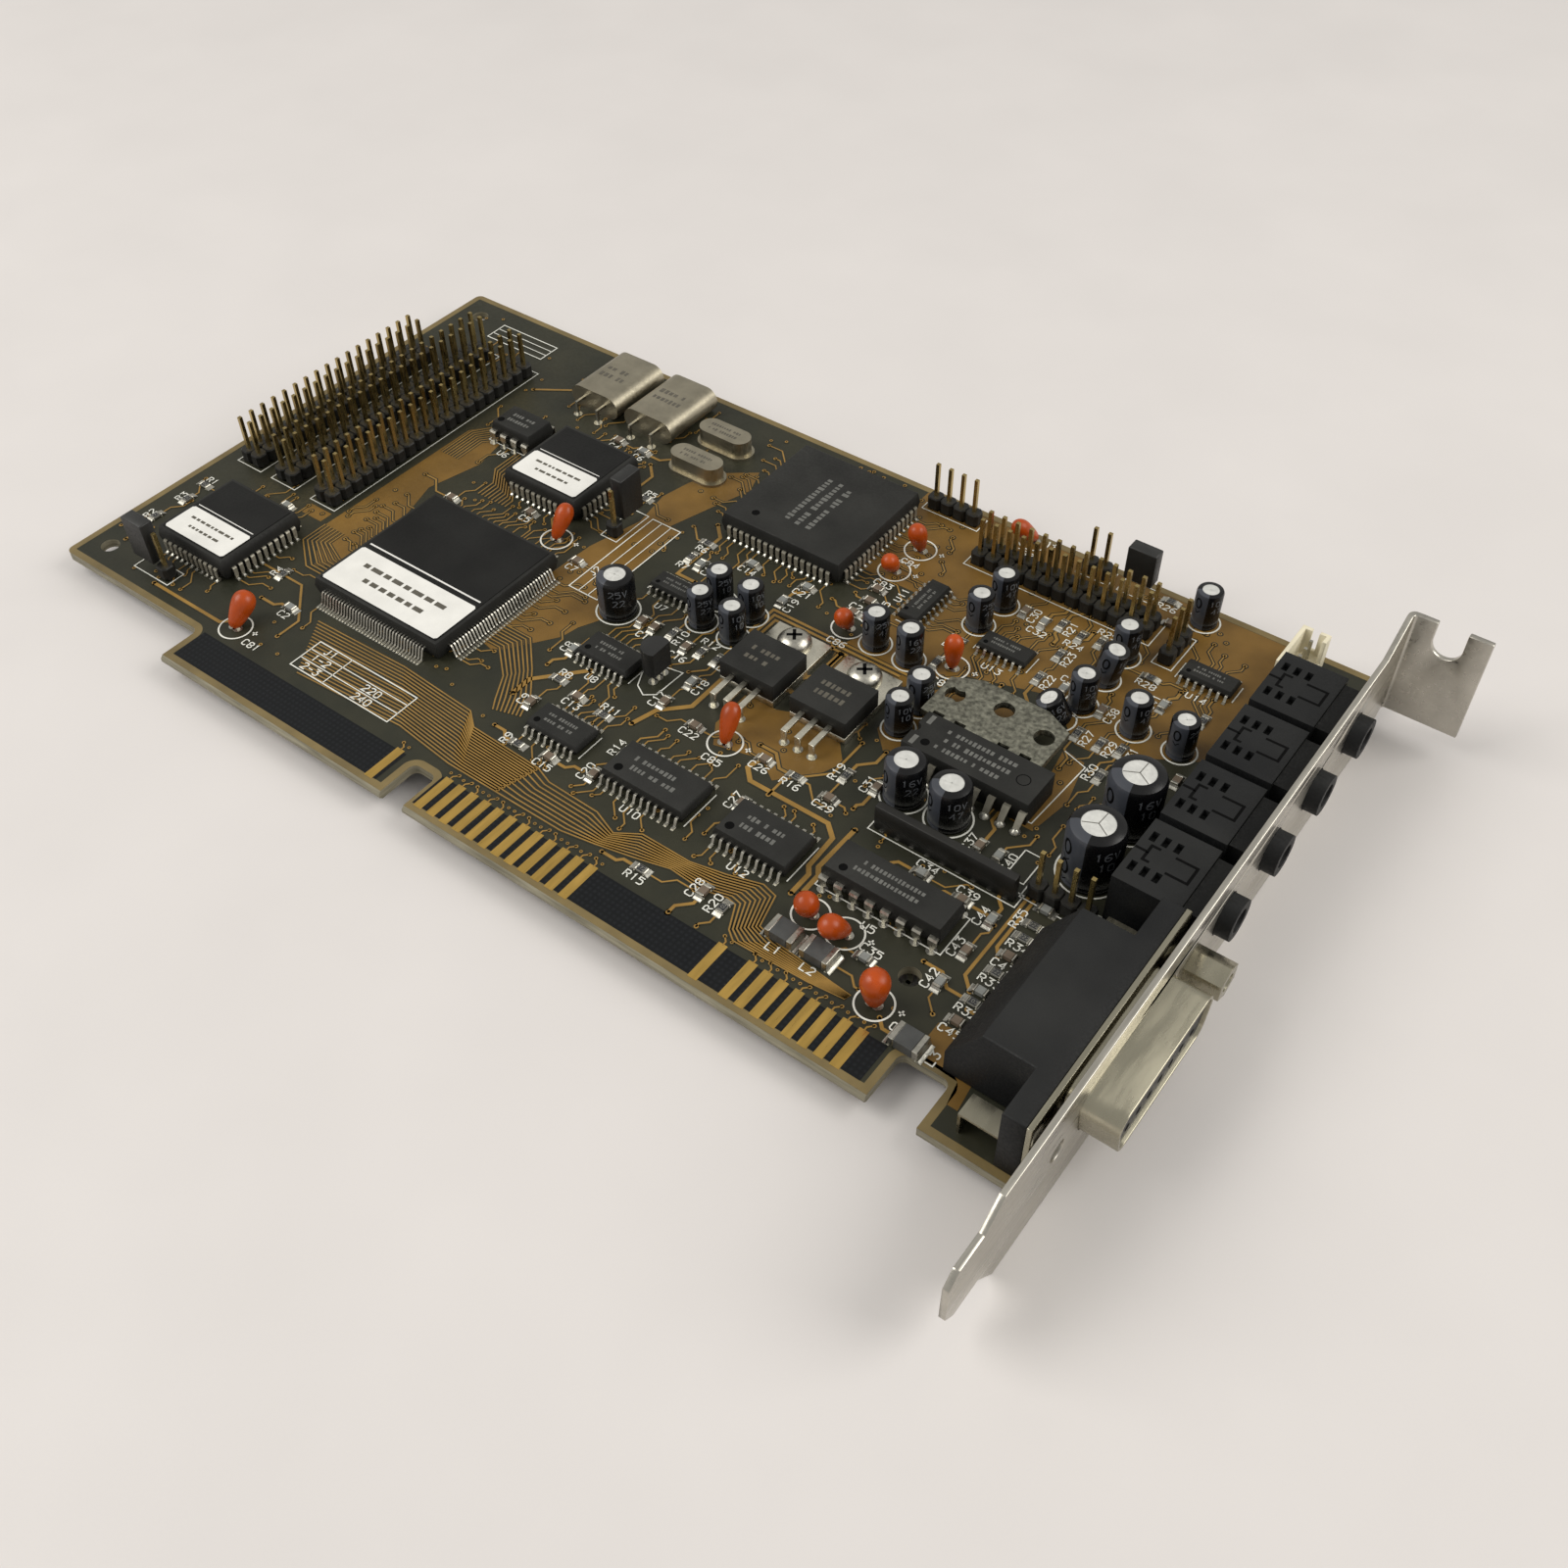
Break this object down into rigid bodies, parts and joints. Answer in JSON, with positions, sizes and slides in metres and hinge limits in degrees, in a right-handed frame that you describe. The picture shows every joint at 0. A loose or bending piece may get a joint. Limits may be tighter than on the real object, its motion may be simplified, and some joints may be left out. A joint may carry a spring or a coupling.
{
  "type": "sound card",
  "caption": "Sound and modem expansion card with a keyed edge connector, pin headers, audio jacks, a game port and a steel bracket.",
  "frame": {"origin": "under the middle of the card, at the height of the bracket's lower edge", "axes": "+X along the edge connector towards the bracket, +Y from the contacts to the rear edge, +Z out of the component side"},
  "size_m": [0.2048, 0.1266, 0.0223],
  "materials": {
    "solder_mask": "satin",
    "gold_contact": "polished",
    "bracket_steel": "satin",
    "port_steel": "polished",
    "black_plastic": "matte",
    "chip_resin": "matte",
    "tinned_lead": "satin",
    "brass_pin": "polished",
    "label_film": "satin",
    "sleeve_film": "gloss",
    "can_nickel": "satin",
    "fin_metal": "dull",
    "orange_dip": "gloss",
    "pale_nylon": "matte",
    "tan_ceramic": "satin",
    "black_ceramic": "satin"
  },
  "bodies": {
    "root": {"circuit_board": "solder_mask", "edge_contacts": "gold_contact", "mounting_bracket": "bracket_steel", "jackscrew": "port_steel", "audio_jack_1": "black_plastic", "audio_jack_2": "black_plastic", "audio_jack_3": "black_plastic", "audio_jack_4": "black_plastic", "game_port_housing": "black_plastic", "game_port_shell": "port_steel", "game_port_insulator": "black_plastic", "game_port_board_locks": "port_steel", "drive_header_base_1": "black_plastic", "drive_header_base_2": "black_plastic", "drive_header_base_3": "black_plastic", "drive_header_pins_1": "brass_pin", "drive_header_pins_2": "brass_pin", "drive_header_pins_3": "brass_pin", "feature_header_base": "black_plastic", "feature_header_pins": "brass_pin", "small_header_bases": "black_plastic", "small_header_pins": "brass_pin", "jumper_caps": "black_plastic", "wafer_connector": "pale_nylon", "wafer_connector_pins": "tinned_lead", "controller_body": "chip_resin", "controller_leads": "tinned_lead", "codec_body": "chip_resin", "codec_leads": "tinned_lead", "firmware_chip_bodies": "chip_resin", "firmware_chip_leads": "tinned_lead", "chip_labels": "label_film", "timer_body": "chip_resin", "eeprom_body": "chip_resin", "dip_leads": "tinned_lead", "small_outline_bodies": "chip_resin", "small_outline_leads": "tinned_lead", "regulator_bodies": "chip_resin", "regulator_frames": "tinned_lead", "regulator_screws": "port_steel", "amplifier_body": "chip_resin", "amplifier_fin": "fin_metal", "amplifier_leads": "tinned_lead", "resistor_network": "black_plastic", "transistor_body": "chip_resin", "transistor_leads": "tinned_lead", "crystal_cans": "can_nickel", "crystal_leads": "tinned_lead", "capacitor_sleeves": "sleeve_film", "bead_capacitors": "orange_dip", "bead_leads": "tinned_lead", "chip_resistors": "black_ceramic", "chip_capacitors": "tan_ceramic", "ferrite_chips": "black_ceramic"}
  },
  "joints": []
}
